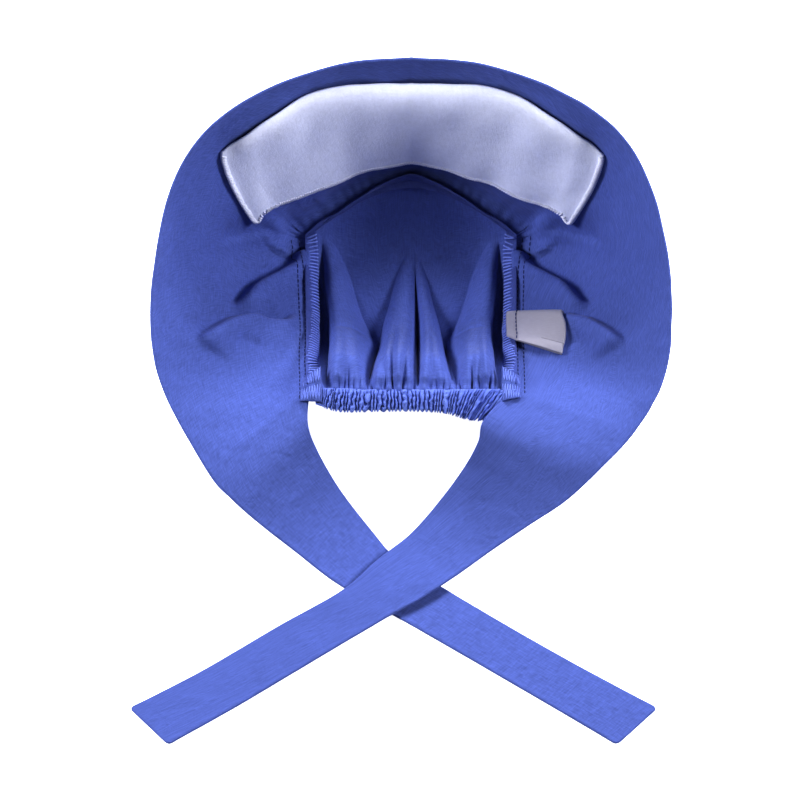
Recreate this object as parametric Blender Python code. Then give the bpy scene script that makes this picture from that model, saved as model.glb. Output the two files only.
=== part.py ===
"""A tie-back scrub cap lying open on its back, made as its sewn pieces.

Metres, +Z up. The crown rests on the table and the opening faces up. +Y runs from the
nape to the forehead. The origin is the middle of the flat patch that the crown rests on.
The rim lies in one plane, which leans up from the table towards the forehead.
"""

import math

import bpy
import numpy as np

# Opening of the cap, measured in the leaning plane of its rim
RIM_WIDTH = 0.2605
RIM_REACH = 0.2615
RIM_LEAN = math.radians(30)
RIM_START = 0.178  # from the line where that plane meets the table to the origin

# Crown panel, from its gathered nape end to the seam at the forehead
CROWN_WIDTH = 0.114
CROWN_LENGTH = 0.1315
CROWN_START = 0.0895  # from the gathered end to the origin
CROWN_DEPTH = 0.040  # from the table up to the gathered end
CROWN_CLOTH = 0.0010
CROWN_WALL_LENGTH = 0.110  # cloth for one whole count of along, at the forehead
GATHER_HEIGHT = 0.0115

# Band with its two ties, cut in one piece and bagged out
BAND_CLOTH = 0.0012
BAND_BULGE = 0.007

# Seam allowance, overlocked and standing inside along the crown seam
ALLOWANCE_WIDTH = 0.0072
ALLOWANCE_CLOTH = 0.0011
ALLOWANCE_LEAN = 0.0015  # how far its free edge stands off the crown

# Gathered casing over the nape's elastic
CASING_LENGTH = 0.104
CASING_WIDTH = 0.0115
CASING_THICKNESS = 0.0040
CASING_FLAT_SHARE = 0.075  # its left end lies flat
RUFFLE_HEIGHT = 0.0008
RUFFLE_PITCH = 0.0034

# Padded sweatband inside the forehead
SWEATBAND_HEIGHT = 0.0655
SWEATBAND_CLOTH = 0.0026
SWEATBAND_INSET = 0.0165  # from the rim to its upper edge
SWEATBAND_END = 2.98  # rows of the band from the forehead to each of its upper ends
SWEATBAND_SKEW = 0.42  # its lower ends lie this many rows further
SWEATBAND_TAPER = 0.24  # and it loses this share of its height towards them

# Folded label, caught in the right side seam
LABEL_WIDTH = 0.0205
LABEL_CLOTH = 0.0010
LABEL_LOOP = 0.0026  # between the middles of its two layers
LABEL_TAIL = 0.0050  # the sewn end that lies on the seam allowance
LABEL_PLACE = 5.98  # row of the band, counted from the forehead
LABEL_REACH = 0.745  # where its fold lies, from the rim (0) to the seam (1)
LABEL_ROW_LENGTH = 0.034  # length of one row of the band at the label

# Clearances between the sewn pieces
SEWN_GAP = 0.0003
BAND_CLEAR = 0.0012  # from the crown's edge to the band's edge, in the middle of both walls
ALLOWANCE_CLEAR = 0.0014  # from the middle of the crown's wall to the allowance's
CASING_CLEAR = 0.0008  # from the gathered hem to the casing's upper edge

# Crown from nape to forehead. The first four columns are shares of CROWN_LENGTH and
# CROWN_DEPTH, for the middle line and for the side seam. The last two are the share of
# CROWN_WIDTH there, and how squarely the panel turns up at its sides.
CROWN_ROWS = (
    # name, middle_along, middle_up, side_along, side_up, width, square
    ("hem", 0.000, 0.93, 0.000, 1.00, 0.945, 5.0),
    ("slope", 0.125, 0.66, 0.145, 0.84, 0.955, 4.5),
    ("slope_end", 0.270, 0.30, 0.300, 0.66, 0.965, 4.0),
    ("landing", 0.420, 0.05, 0.450, 0.52, 0.980, 4.0),
    ("floor", 0.560, 0.00, 0.590, 0.42, 0.995, 4.0),
    ("floor_end", 0.760, 0.00, 0.710, 0.36, 1.000, 4.0),
    ("heel", 0.875, 0.18, 0.775, 0.34, 1.005, 2.9),
    ("wall", 0.945, 0.50, 0.802, 0.34, 1.005, 2.1),
    ("front_seam", 1.000, 0.83, 0.812, 0.35, 1.005, 1.7),
)
CROWN_FLAT_SHARE = 0.30  # this much of the half width is level across the middle
CROWN_WALL_START = 5 / (len(CROWN_ROWS) - 1)  # the floor's last row

# Gathers of the crown. across is a share of the half width, at the hem and at the fold's
# far end. reach is a share of the crown's rows, and height a share of GATHER_HEIGHT.
GATHER_ROWS = (
    # name, hem_across, end_across, reach, height, half_width
    ("left_fold", -0.61, -0.80, 0.62, 0.95, 0.175),
    ("middle_left_fold", -0.18, 0.00, 0.50, 1.05, 0.205),
    ("middle_right_fold", 0.26, 0.10, 0.47, 0.90, 0.165),
    ("right_fold", 0.63, 0.80, 0.62, 0.95, 0.175),
)

# Body of the band, from the forehead to the side, the same on both sides. The rim's
# columns are shares of half the RIM_WIDTH and of RIM_REACH. The seam's column runs along
# the crown's edge: 0 at the middle of the forehead, 1 at its corner, 2 at the nape. bulge
# is a share of BAND_BULGE.
SHELL_ROWS = (
    # name, rim_across, rim_along, seam, bulge
    ("forehead", 0.000, 1.000, 0.00, 0.5),
    ("brow", 0.275, 0.986, 0.34, 0.5),
    ("temple", 0.545, 0.941, 0.68, 0.5),
    ("corner", 0.794, 0.858, 1.00, 0.7),
    ("side_front", 0.937, 0.727, 1.18, 0.9),
    ("side", 1.000, 0.535, 1.44, 1.0),
    ("side_back", 0.967, 0.382, 1.72, 0.8),
)

# Nape end of the band and its tie, a table for each side, from the side seam's end to the
# tie's end. Both edges are given: across is a share of half the RIM_WIDTH, along of the
# rim's reach over the table, from the line where its plane meets the table, and up of
# CROWN_DEPTH.
LEFT_TIE_ROWS = (
    # name, outer_across, outer_along, outer_up, inner_across, inner_along, inner_up
    ("nape", -0.789, 0.210, 0.69, -0.418, 0.357, 1.03),
    ("nape_low", -0.690, 0.155, 0.47, -0.399, 0.311, 0.85),
    ("taper", -0.575, 0.108, 0.27, -0.361, 0.264, 0.60),
    ("narrowing", -0.444, 0.056, 0.12, -0.277, 0.199, 0.28),
    ("before_crossing", -0.312, -0.002, 0.03, -0.156, 0.117, 0.07),
    ("crossing", -0.180, -0.050, 0.00, -0.050, 0.046, 0.00),
    ("past_crossing", -0.029, -0.102, 0.00, 0.100, -0.012, 0.00),
    ("tie", 0.224, -0.194, 0.00, 0.345, -0.105, 0.00),
    ("tie_far", 0.480, -0.288, 0.00, 0.615, -0.203, 0.00),
    ("tie_end", 0.760, -0.392, 0.00, 0.919, -0.307, 0.00),
)
RIGHT_TIE_ROWS = (
    # name, outer_across, outer_along, outer_up, inner_across, inner_along, inner_up
    ("nape", 0.858, 0.283, 0.93, 0.411, 0.372, 1.03),
    ("shoulder", 0.723, 0.209, 0.70, 0.278, 0.306, 1.00),
    ("nape_low", 0.594, 0.154, 0.45, 0.256, 0.268, 0.82),
    ("taper", 0.456, 0.110, 0.28, 0.203, 0.229, 0.55),
    ("narrowing", 0.309, 0.058, 0.15, 0.111, 0.172, 0.28),
    ("before_crossing", 0.178, 0.002, 0.11, -0.002, 0.104, 0.12),
    ("crossing", 0.040, -0.055, 0.11, -0.129, 0.040, 0.11),
    ("past_crossing", -0.105, -0.104, 0.08, -0.266, -0.033, 0.08),
    ("tie", -0.380, -0.203, 0.03, -0.510, -0.117, 0.03),
    ("tie_far", -0.679, -0.313, 0.00, -0.797, -0.222, 0.00),
    ("tie_end", -0.904, -0.392, 0.00, -1.056, -0.307, 0.00),
)

# Casing over the elastic, from its left end to its right. Upper and lower edge: across is
# a share of half the CROWN_WIDTH, back is counted in casing widths from the hem, and up is
# a share of CROWN_DEPTH.
CASING_ROWS = (
    # name, top_across, top_back, top_up, low_across, low_back, low_up
    ("left_end", -0.925, 0.00, 1.02, -0.925, 0.62, 0.97),
    ("left", -0.640, -0.02, 0.99, -0.640, 0.92, 0.88),
    ("middle_left", -0.330, -0.02, 0.96, -0.320, 0.88, 0.86),
    ("middle", 0.000, -0.02, 0.96, 0.000, 0.86, 0.86),
    ("middle_right", 0.330, 0.00, 0.97, 0.290, 0.98, 0.87),
    ("right", 0.640, 0.02, 0.99, 0.470, 1.30, 0.90),
    ("right_end", 0.925, 0.10, 1.03, 0.640, 1.50, 0.93),
)

# Soft dents of the band. place counts its rows from the forehead, across runs from the
# rim (0) to the seam (1), and depth is a share of BAND_BULGE, towards the head where
# positive. long and wide are the dent's half sizes, in the same counts.
DENT_ROWS = (
    # name, place, across, depth, long, wide
    ("side_crescent", 5.45, 0.58, 0.55, 0.50, 0.30),
    ("side_hollow", 4.60, 0.55, -0.45, 0.45, 0.28),
    ("corner_pucker", 3.10, 0.88, -0.50, 0.50, 0.12),
    ("temple_dent", 2.20, 0.10, 0.40, 0.45, 0.22),
)

CROWN_ACROSS, CROWN_ALONG = 40, 17
BAND_ACROSS, BAND_STEPS = 7, 4
ALLOWANCE_STEPS = 76
SWEATBAND_STEPS, SWEATBAND_ACROSS = 30, 4
LABEL_ACROSS, LABEL_FOLD = 8, 4
CASING_RING = 8
STEPS_PER_RUFFLE = 4

BLUE = (0.105, 0.160, 0.560, 1.0)
BLUE_INSIDE = (0.095, 0.145, 0.520, 1.0)
WHITE_TERRY = (0.800, 0.810, 0.870, 1.0)
SATIN = (0.700, 0.700, 0.760, 1.0)


def columns(rows):
    """The numbers of a table, without its names."""
    return np.array([row[1:] for row in rows], float)


def smooth(rows, place):
    """Rows read at any place, 0 at the first and n - 1 at the last, on a Catmull-Rom curve."""
    rows = np.asarray(rows, float)
    slope = np.gradient(rows, axis=0)
    first = np.clip(np.floor(place).astype(int), 0, len(rows) - 2)
    t = (np.asarray(place, float) - first)[..., None]
    a, b, slope_a, slope_b = rows[first], rows[first + 1], slope[first], slope[first + 1]
    rise = t * t * (3 - 2 * t)
    return a + (b - a) * rise + slope_a * t * (1 - t) ** 2 - slope_b * t * t * (1 - t)


def unit(v):
    """Vectors made one long."""
    return v / np.maximum(np.linalg.norm(v, axis=-1, keepdims=True), 1e-12)


def grid_normals(points):
    """Normals of a grid of points, from its two directions."""
    return unit(np.cross(np.gradient(points, axis=0), np.gradient(points, axis=1)))


def crown_point(across, along):
    """Crown panel: a trough whose sides turn up to the seam, with the gathers raised on it."""
    row = smooth(columns(CROWN_ROWS), np.asarray(along) * (len(CROWN_ROWS) - 1))
    middle_y, middle_z, side_y, side_z, width, square = np.moveaxis(row, -1, 0)
    level = np.clip((np.abs(across) - CROWN_FLAT_SHARE) / (1 - CROWN_FLAT_SHARE), 0, 1)
    front = np.clip((along - CROWN_WALL_START) / (1 - CROWN_WALL_START), 0, 1)
    level = level + (np.abs(across) - level) * front
    turn = level**square
    x = across * width * CROWN_WIDTH / 2
    y = (middle_y + (side_y - middle_y) * turn) * CROWN_LENGTH - CROWN_START
    z = np.maximum(middle_z + (side_z - middle_z) * turn, 0) * CROWN_DEPTH
    return np.stack([x, y, z + gather_height(across, along) + CROWN_CLOTH / 2], axis=-1)


def gather_height(across, along):
    """Ridges that start full at the hem and fade to nothing at their far ends."""
    total = 0
    for hem_across, end_across, reach, height, half_width in columns(GATHER_ROWS):
        far = np.clip(along / reach, 0, 1)
        middle = hem_across + (end_across - hem_across) * far
        narrow = half_width * (1 - 0.35 * far)
        ridge = np.exp(-(((across - middle) / narrow) ** 2) * 1.6)
        rise = np.clip(far / 0.22, 0, 1)
        fade = (0.15 + 0.85 * rise * rise * (3 - 2 * rise)) * np.cos(far * math.pi / 2) ** 1.2
        side = np.clip((1 - np.abs(across)) * 6, 0, 1)
        total = total + GATHER_HEIGHT * height * ridge * fade * side
    return total


def crown_edge(seam, inset=0.0):
    """The crown's sewn edge on the right: 0 mid-forehead, 1 corner, 2 nape. inset is in metres."""
    inward = inset / (CROWN_WIDTH / 2)
    forward = inset / CROWN_WALL_LENGTH
    across = np.minimum(seam, 1) * (1 - inward)
    along = np.minimum(2 - seam, 1) * (1 - forward)
    return crown_point(across, along)


def rim_point(across, along):
    """A point of the rim's leaning plane."""
    reach = along * RIM_REACH
    flat = [across * RIM_WIDTH / 2, reach * math.cos(RIM_LEAN) - RIM_START, reach * math.sin(RIM_LEAN)]
    return np.stack(flat, axis=-1)


def tie_edges(side):
    """Outer and inner edge points of one tie's rows."""
    table = columns(LEFT_TIE_ROWS if side < 0 else RIGHT_TIE_ROWS).reshape(-1, 2, 3)
    body = RIM_REACH * math.cos(RIM_LEAN)
    points = table * (RIM_WIDTH / 2, body, CROWN_DEPTH) + (0, -RIM_START, BAND_CLOTH / 2)
    return points[:, 0], points[:, 1]


def side_edges(place, side):
    """Rim and seam edge of one side, at places counted in rows from the forehead (0)."""
    rim_across, rim_along, seam, _ = columns(SHELL_ROWS).T
    tie_outer, tie_inner = tie_edges(side)
    outer = smooth(np.concatenate([rim_point(rim_across * side, rim_along), tie_outer]), place)
    nape = len(SHELL_ROWS)
    sewn = crown_edge(smooth(np.append(seam, 2.0)[:, None], np.minimum(place, nape))[..., 0])
    sewn = sewn * (side, 1, 1)
    sewn = sewn + unit(unit(outer - sewn) + (0, 0, 1)) * BAND_CLEAR
    start = crown_edge(np.array([2.0]))[0] * (side, 1, 1)
    tie_inner[0] = start + unit(unit(tie_outer[0] - start) + (0, 0, 1)) * BAND_CLEAR
    free = smooth(tie_inner, np.maximum(place - nape, 0))
    return outer, np.where((place > nape)[..., None], free, sewn)


def band_surface(place, across):
    """Band between its edges: straight across, bowed away from the head, with its soft dents.

    place counts rows from the forehead, negative on the left. across runs from the rim (0)
    to the seam (1).
    """
    right_out, right_in = side_edges(np.maximum(place, 0), 1)
    left_out, left_in = side_edges(np.maximum(-place, 0), -1)
    left = (place < 0)[..., None]
    edge_out, edge_in = np.where(left, left_out, right_out), np.where(left, left_in, right_in)
    flat = edge_out + (edge_in - edge_out) * across[..., None]
    outward = grid_normals(flat)
    nape = len(SHELL_ROWS)
    bulge = np.concatenate([columns(SHELL_ROWS)[:, 3], [0.4, 0.1, 0, 0]])
    bow = smooth(bulge[:, None], np.minimum(np.abs(place), nape + 3))[..., 0]
    bow = bow * 4 * across * (1 - across)
    for along, dent_across, depth, long, wide in columns(DENT_ROWS):
        spot = ((np.abs(place) - along) / long) ** 2 + ((across - dent_across) / wide) ** 2
        bow = bow - depth * np.exp(-spot)
    surface = flat + outward * (bow * BAND_BULGE)[..., None]
    surface[..., 2] = np.maximum(surface[..., 2], BAND_CLOTH / 2)
    return surface


def material(name, colour, roughness):
    """A cloth colour."""
    made = bpy.data.materials.new(name)
    made.use_nodes = True
    shader = made.node_tree.nodes["Principled BSDF"]
    shader.inputs["Base Color"].default_value = colour
    shader.inputs["Roughness"].default_value = roughness
    shader.inputs["Metallic"].default_value = 0
    return made


def new_object(name, points, faces, finish):
    """An object of these points and faces, shaded smooth."""
    mesh = bpy.data.meshes.new(name)
    mesh.from_pydata([tuple(p) for p in points], [], faces)
    mesh.update()
    mesh.shade_smooth()
    mesh.materials.append(finish)
    made = bpy.data.objects.new(name, mesh)
    bpy.context.scene.collection.objects.link(made)
    return made


def cloth(name, grid, thickness, finish):
    """A sheet through the middle of the wall, thickened to both sides."""
    rows, count = grid.shape[:2]
    faces = [
        (i * count + j, (i + 1) * count + j, (i + 1) * count + j + 1, i * count + j + 1)
        for i in range(rows - 1)
        for j in range(count - 1)
    ]
    made = new_object(name, grid.reshape(-1, 3), faces, finish)
    wall = made.modifiers.new("wall", "SOLIDIFY")
    wall.thickness = thickness
    wall.offset = 0
    wall.use_even_offset = True
    wall.thickness_clamp = 0
    return made


def make_crown(finish):
    """The crown and back panel, with its gathers."""
    across, along = np.meshgrid(
        np.linspace(-1, 1, CROWN_ACROSS + 1), np.linspace(0, 1, CROWN_ALONG + 1), indexing="ij"
    )
    return cloth("crown", crown_point(across, along), CROWN_CLOTH, finish)


def make_band(finish):
    """The band round the head and its two ties, one piece of cloth."""
    left_rows = len(SHELL_ROWS) + len(LEFT_TIE_ROWS) - 1
    right_rows = len(SHELL_ROWS) + len(RIGHT_TIE_ROWS) - 1
    steps = (left_rows + right_rows) * BAND_STEPS
    place, across = np.meshgrid(
        np.linspace(-left_rows, right_rows, steps + 1),
        np.linspace(0, 1, BAND_ACROSS + 1),
        indexing="ij",
    )
    return cloth("band", band_surface(place, across), BAND_CLOTH, finish)


def make_seam_allowance(finish):
    """The overlocked strip: from just inside the seam it leans over the crown's edge."""
    seam, inset = np.meshgrid(
        np.linspace(-2, 2, ALLOWANCE_STEPS + 1),
        ALLOWANCE_WIDTH * np.array([0.04, 0.5, 1.0]),
        indexing="ij",
    )
    seat = crown_edge(np.abs(seam), inset)
    seat[..., 0] *= np.sign(seam)
    lean = ALLOWANCE_LEAN * inset / ALLOWANCE_WIDTH * np.clip(2 - np.abs(seam), 0, 1)
    grid = seat - grid_normals(seat) * (ALLOWANCE_CLEAR + lean)[..., None]
    return cloth("seam_allowance", grid, ALLOWANCE_CLOTH, finish)


def make_sweatband(finish):
    """The padded strip inside the forehead, held off the band by the sewn gap."""
    share, drop = np.meshgrid(
        np.linspace(-1, 1, SWEATBAND_STEPS + 1), np.linspace(0, 1, SWEATBAND_ACROSS + 1), indexing="ij"
    )
    place = share * (SWEATBAND_END + SWEATBAND_SKEW * drop)
    top, bottom = (band_surface(place, np.full(place.shape, end)) for end in (0.0, 1.0))
    height = np.linalg.norm(bottom - top, axis=-1)
    tall = SWEATBAND_HEIGHT * (1 - SWEATBAND_TAPER * share**2)
    across = (SWEATBAND_INSET + drop * tall) / height
    surface = band_surface(place, across)
    clear = BAND_CLOTH / 2 + SWEATBAND_CLOTH / 2 + SEWN_GAP
    grid = surface - grid_normals(surface) * clear
    return cloth("sweatband", grid, SWEATBAND_CLOTH, finish)


def make_casing(finish):
    """The gathered casing: a flattened tube along the hem, ruffled all round at one pitch."""
    count = round(CASING_LENGTH / RUFFLE_PITCH) * STEPS_PER_RUFFLE
    share = np.linspace(0, 1, count + 1)
    turn = np.linspace(0, 2 * math.pi, CASING_RING + 1)[:-1, None]
    rows = smooth(columns(CASING_ROWS), share * (len(CASING_ROWS) - 1)).reshape(-1, 1, 2, 3)
    rows = rows * (CROWN_WIDTH / 2, -CASING_WIDTH, CROWN_DEPTH)
    rows = rows - (0, CROWN_START + CASING_CLEAR, 0)
    middle, half = (rows[:, :, 0] + rows[:, :, 1]) / 2, (rows[:, :, 1] - rows[:, :, 0]) / 2
    face = unit(np.cross(np.gradient(middle, axis=0), half))
    ruffle = RUFFLE_HEIGHT * np.sin(math.pi / 4 + share * count * 2 * math.pi / STEPS_PER_RUFFLE)
    calm = np.clip((share - CASING_FLAT_SHARE) * 12, 0, 1) * np.clip((1 - share) * 12, 0, 1)
    thick = CASING_THICKNESS / 2 + (ruffle * calm)[:, None, None]
    points = middle + half * np.cos(turn) + face * np.sin(turn) * thick
    faces = []
    for i in range(count):
        here, there = i * CASING_RING, (i + 1) * CASING_RING
        for j in range(CASING_RING):
            after = (j + 1) % CASING_RING
            faces.append((here + j, here + after, there + after, there + j))
    last = count * CASING_RING
    faces.append(tuple(reversed(range(CASING_RING))))
    faces.append(tuple(range(last, last + CASING_RING)))
    return new_object("nape_casing", points.reshape(-1, 3), faces, finish)


def make_label(finish):
    """The folded label: sewn down on the seam allowance, lying out over the band, doubled back."""
    half = LABEL_WIDTH / 2 / LABEL_ROW_LENGTH
    place, across = np.meshgrid(
        np.linspace(LABEL_PLACE - half, LABEL_PLACE + half, LABEL_ACROSS + 1),
        np.array([LABEL_REACH - 0.05, LABEL_REACH]),
        indexing="ij",
    )
    band = band_surface(place, across)
    far = (band - grid_normals(band) * (BAND_CLOTH + LABEL_CLOTH + 6 * SEWN_GAP) / 2)[:, 1]
    seam = smooth(columns(SHELL_ROWS)[:, 2:3], place[:, 0])[:, 0]
    lift = ALLOWANCE_CLEAR + (ALLOWANCE_CLOTH + LABEL_CLOTH) / 2 + 2 * SEWN_GAP
    lean = ALLOWANCE_LEAN * LABEL_TAIL / ALLOWANCE_WIDTH
    tail = crown_edge(seam, LABEL_TAIL) + (0, 0, 1.35 * lift + lean)
    root = crown_edge(seam) + (-ALLOWANCE_CLEAR, 0, 1.55 * lift)
    shares = (0.2, 0.4, 0.6, 0.8, 1.0)
    lower = [tail, tail + (root - tail) * 0.7, root] + [root + (far - root) * k for k in shares]
    out = unit(far - root)
    up = unit(np.cross(out, np.gradient(far, axis=0)))
    up = up * np.sign(up[:, 2:])
    pinched = LABEL_CLOTH + 1.2 * SEWN_GAP
    opening = [pinched] * 3 + [pinched + (LABEL_LOOP - pinched) * k for k in shares]
    upper = [line + up * between for line, between in zip(lower, opening)]
    turn = np.linspace(-math.pi / 2, math.pi / 2, LABEL_FOLD + 1)[1:-1]
    middle = far + up * LABEL_LOOP / 2
    fold = [middle + (out * math.cos(t) + up * math.sin(t)) * LABEL_LOOP / 2 for t in turn]
    return cloth("label_loop", np.stack(lower + fold + upper[::-1]), LABEL_CLOTH, finish)


def clear_scene():
    """Starts from an empty scene."""
    for thing in list(bpy.data.objects):
        bpy.data.objects.remove(thing)


def main():
    clear_scene()
    make_crown(material("blue_crown_cloth", BLUE_INSIDE, 0.85))
    make_band(material("blue_band_cloth", BLUE, 0.85))
    make_seam_allowance(material("overlocked_edge", BLUE, 0.90))
    make_casing(material("blue_casing_cloth", BLUE, 0.85))
    make_sweatband(material("white_terry", WHITE_TERRY, 0.95))
    make_label(material("satin", SATIN, 0.40))


main()
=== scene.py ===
"""A tie-back scrub cap lying open on its back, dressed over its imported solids.

Metres, +Z up, +Y from the nape to the forehead, the crown resting on the floor at the
origin. Each piece is a surface worked out on a grid of two parameters, given a wall and
sewn to its neighbours by clearances. Lengths along a piece are counted in the rows of its
table, and lengths across run from 0 to 1.
"""

import math

import bpy
import numpy as np
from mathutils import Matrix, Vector


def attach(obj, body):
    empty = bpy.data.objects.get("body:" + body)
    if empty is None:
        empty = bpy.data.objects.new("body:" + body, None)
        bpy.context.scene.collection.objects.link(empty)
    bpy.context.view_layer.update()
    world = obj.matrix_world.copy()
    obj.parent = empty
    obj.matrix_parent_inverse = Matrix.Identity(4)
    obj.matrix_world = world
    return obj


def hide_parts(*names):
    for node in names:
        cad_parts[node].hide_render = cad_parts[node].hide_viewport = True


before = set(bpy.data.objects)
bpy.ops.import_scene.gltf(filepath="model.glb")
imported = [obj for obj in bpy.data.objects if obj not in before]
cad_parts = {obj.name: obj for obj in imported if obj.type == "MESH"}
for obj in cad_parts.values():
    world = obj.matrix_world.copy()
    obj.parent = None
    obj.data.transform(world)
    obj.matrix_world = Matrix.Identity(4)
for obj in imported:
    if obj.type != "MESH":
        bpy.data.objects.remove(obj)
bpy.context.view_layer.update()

# Opening of the cap, in the leaning plane of its rim
RIM_WIDTH = 0.2605
RIM_REACH = 0.2615
RIM_LEAN = math.radians(30)
RIM_START = 0.178  # from the line where that plane meets the floor to the origin

# Crown panel
CROWN_WIDTH = 0.114
CROWN_LENGTH = 0.1315
CROWN_START = 0.0895
CROWN_DEPTH = 0.040
CROWN_CLOTH = 0.0009
CLOTH_ROUND = 0.0005  # rounding of the borders of crown and allowance
CROWN_WALL_LENGTH = 0.110
SEAM_SHARE = 0.962  # of the half width, where it is sewn
HEM_TUCK = 0.018  # share of the length that goes into the casing
GUTTER_ACROSS = 0.845  # share of the half width, between the lobes and the seam
GUTTER_WIDTH = 0.058
GUTTER_DEPTH = 0.0048

# Band and ties
BAND_CLOTH = 0.0012
BAND_BULGE = 0.007
EDGE_ROUND = 0.0007
TIE_CORNER = 0.0022
TIE_CORNER_ROW = 0.036  # metres that a row counts for at the ties' corners
PUCKER_PITCH = 0.0085
PUCKER_HEIGHT = 0.00028
PUCKER_REACH = 0.006
HEM_RIDGE = 0.00022
HEM_LINE = 0.0012  # from the rim
HEM_WIDTH = 0.0009
BAND_CLEAR = -0.0012  # its sewn edge reaches past the crown's
SEAM_STITCHES_AWAY = (0.0030, 0.0066)  # the two rows of stitches, from the seam
SEAM_STITCHES_START = 3.9  # their place nearest the forehead

# Seam allowance, casing, sweatband, corner patches and label
ALLOWANCE_WIDTH = 0.0038
ALLOWANCE_CLOTH = 0.0009
ALLOWANCE_CLEAR = 0.0014
ALLOWANCE_LEAN = 0.0028
CASING_WIDTH = 0.0115
CASING_THICKNESS = 0.0040
CASING_CLEAR = 0.0008
PLEAT_PITCH = 0.0018
RIDGE_HEIGHT = 0.0026
RIDGE_SINK = 0.0010  # how far the gaps between ridges lie below the casing's face
SWEATBAND_CLOTH = 0.0020
SWEATBAND_ROUND = 0.0012
SWEATBAND_TOP = 0.0169  # its top, from the rim
SWEATBAND_SAG = 0.0029
SWEATBAND_LOW = 0.0858  # its lower edge, from the rim
SWEATBAND_RISE = 0.0175  # of that edge towards the ends
SWEATBAND_PILLOW = 0.0070  # how far its padding stands off the band
SWEATBAND_END = 3.08
SWEATBAND_SKEW = 0.82
TAB_ON_BAND = ((6.74, 0.935), (7.16, 0.895))  # (place, across) of a corner patch's edge
TAB_ON_CROWN = ((0.0456, -0.0790, 0.0425), (0.0448, -0.0980, 0.0385))
TAB_CLOTH = 0.0010
TAB_ROUND = 0.0006
TAB_FACES = (0, -0.35, 0.94)  # the way the corner patches face
LABEL_CLOTH = 0.0006
LABEL_LOOP = 0.0020
LABEL_SAG = 0.0006  # of its upper layer between its sides
LABEL_DROOP = 0.0007  # of its corners at the fold
LABEL_TAIL = 0.0042
LABEL_ROOT = (5.74, 6.24)  # its places along the seam
LABEL_FOLD = (5.50, 6.10)  # at its fold
LABEL_END = (5.62, 6.06)  # and at its sewn end
LABEL_REACH = 0.665
SEWN_GAP = 0.0003

# Threads
STITCH_LENGTH = 0.0024
STITCH_GAP = 0.0007
STITCH_RADIUS = 0.00024
OVERLOCK_PITCH = 0.0022
OVERLOCK_RADIUS = 0.00052
OVERLOCK_WIDTH = 0.0060
OVERLOCK_SLANT = 0.15
BORDER_PITCH = 0.0013  # overlock round the sweatband
BORDER_RADIUS = 0.00050
BORDER_WIDTH = 0.0026
BORDER_SLANT = 0.5
ZIGZAG_RADIUS = 0.00026

# Pitches of the cloths' threads and ribs
WEAVE_PITCH = 0.00037
TERRY_RIB_PITCH = 0.0026

# Crown from nape to forehead, as shares of CROWN_LENGTH, CROWN_DEPTH and CROWN_WIDTH
CROWN_ROWS = (
    # name, middle_along, middle_up, side_along, side_up, width, square
    ("hem", 0.000, 0.93, 0.000, 1.00, 0.945, 5.0),
    ("slope", 0.125, 0.66, 0.145, 0.84, 0.955, 4.5),
    ("slope_end", 0.270, 0.30, 0.300, 0.66, 0.965, 4.0),
    ("landing", 0.420, 0.05, 0.450, 0.52, 0.980, 4.0),
    ("floor", 0.560, 0.00, 0.590, 0.42, 0.995, 4.0),
    ("floor_end", 0.760, 0.00, 0.710, 0.36, 1.000, 4.0),
    ("heel", 0.875, 0.18, 0.775, 0.34, 1.005, 2.9),
    ("wall", 0.945, 0.50, 0.802, 0.34, 1.005, 2.1),
    ("front_seam", 1.000, 0.83, 0.812, 0.35, 1.005, 1.7),
)
CROWN_FLAT_SHARE = 0.30
CROWN_WALL_START = 5 / (len(CROWN_ROWS) - 1)

# Lobes that the gathers throw into the crown. Each lies between a left and a right edge,
# given as shares of the half width at LOBE_KNOTS of the crown's length, and runs out at its
# tip. reach is where it dies out, height its rise in millimetres, and the last two how
# softly its left and right edges start.
LOBE_KNOTS = (0.0, 0.14, 0.28, 0.42, 0.55)
LOBE_ROWS = (
    # name, left edge (5), right edge (5), and below them tip, reach, height, soft, soft
    ("outer_left", -0.79, -0.78, -0.77, -0.77, -0.80, -0.42, -0.37, -0.31, -0.44, -0.54,
     -0.80, 0.74, 17.0, 0.46, 0.85),
    ("inner_left", -0.41, -0.36, -0.30, -0.25, -0.16, 0.055, 0.055, 0.055, 0.045, 0.035,
     0.01, 0.67, 17.5, 0.62, 0.50),
    ("inner_right", 0.07, 0.07, 0.075, 0.075, 0.055, 0.39, 0.35, 0.31, 0.255, 0.17,
     0.05, 0.64, 16.5, 0.44, 0.62),
    ("outer_right", 0.44, 0.38, 0.32, 0.44, 0.54, 0.79, 0.78, 0.77, 0.77, 0.80,
     0.80, 0.74, 17.0, 0.85, 0.46),
)

# Soft grooves inside the lobes: across at the hem and at the end, where they end, depth in
# millimetres, and half width
GROOVE_ROWS = (
    # name, hem, end, reach, depth, half_width
    ("outer_left", -0.60, -0.62, 0.40, 2.4, 0.055),
    ("inner_left", -0.20, -0.13, 0.42, 2.9, 0.048),
    ("inner_left_fine", -0.07, -0.03, 0.30, 1.8, 0.030),
    ("inner_right", 0.21, 0.19, 0.40, 2.6, 0.042),
    ("outer_right", 0.60, 0.63, 0.40, 2.4, 0.055),
)

# Gathers of the crown at its hem, in metres
GATHER_ROWS = (
    # name, pitch, unevenness, its scale, height, reach from the hem, seed
    ("wide", 0.0078, 0.5, 0.03, 0.0011, 0.020, 11),
    ("narrow", 0.0033, 0.6, 0.02, 0.0007, 0.008, 12),
)

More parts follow.
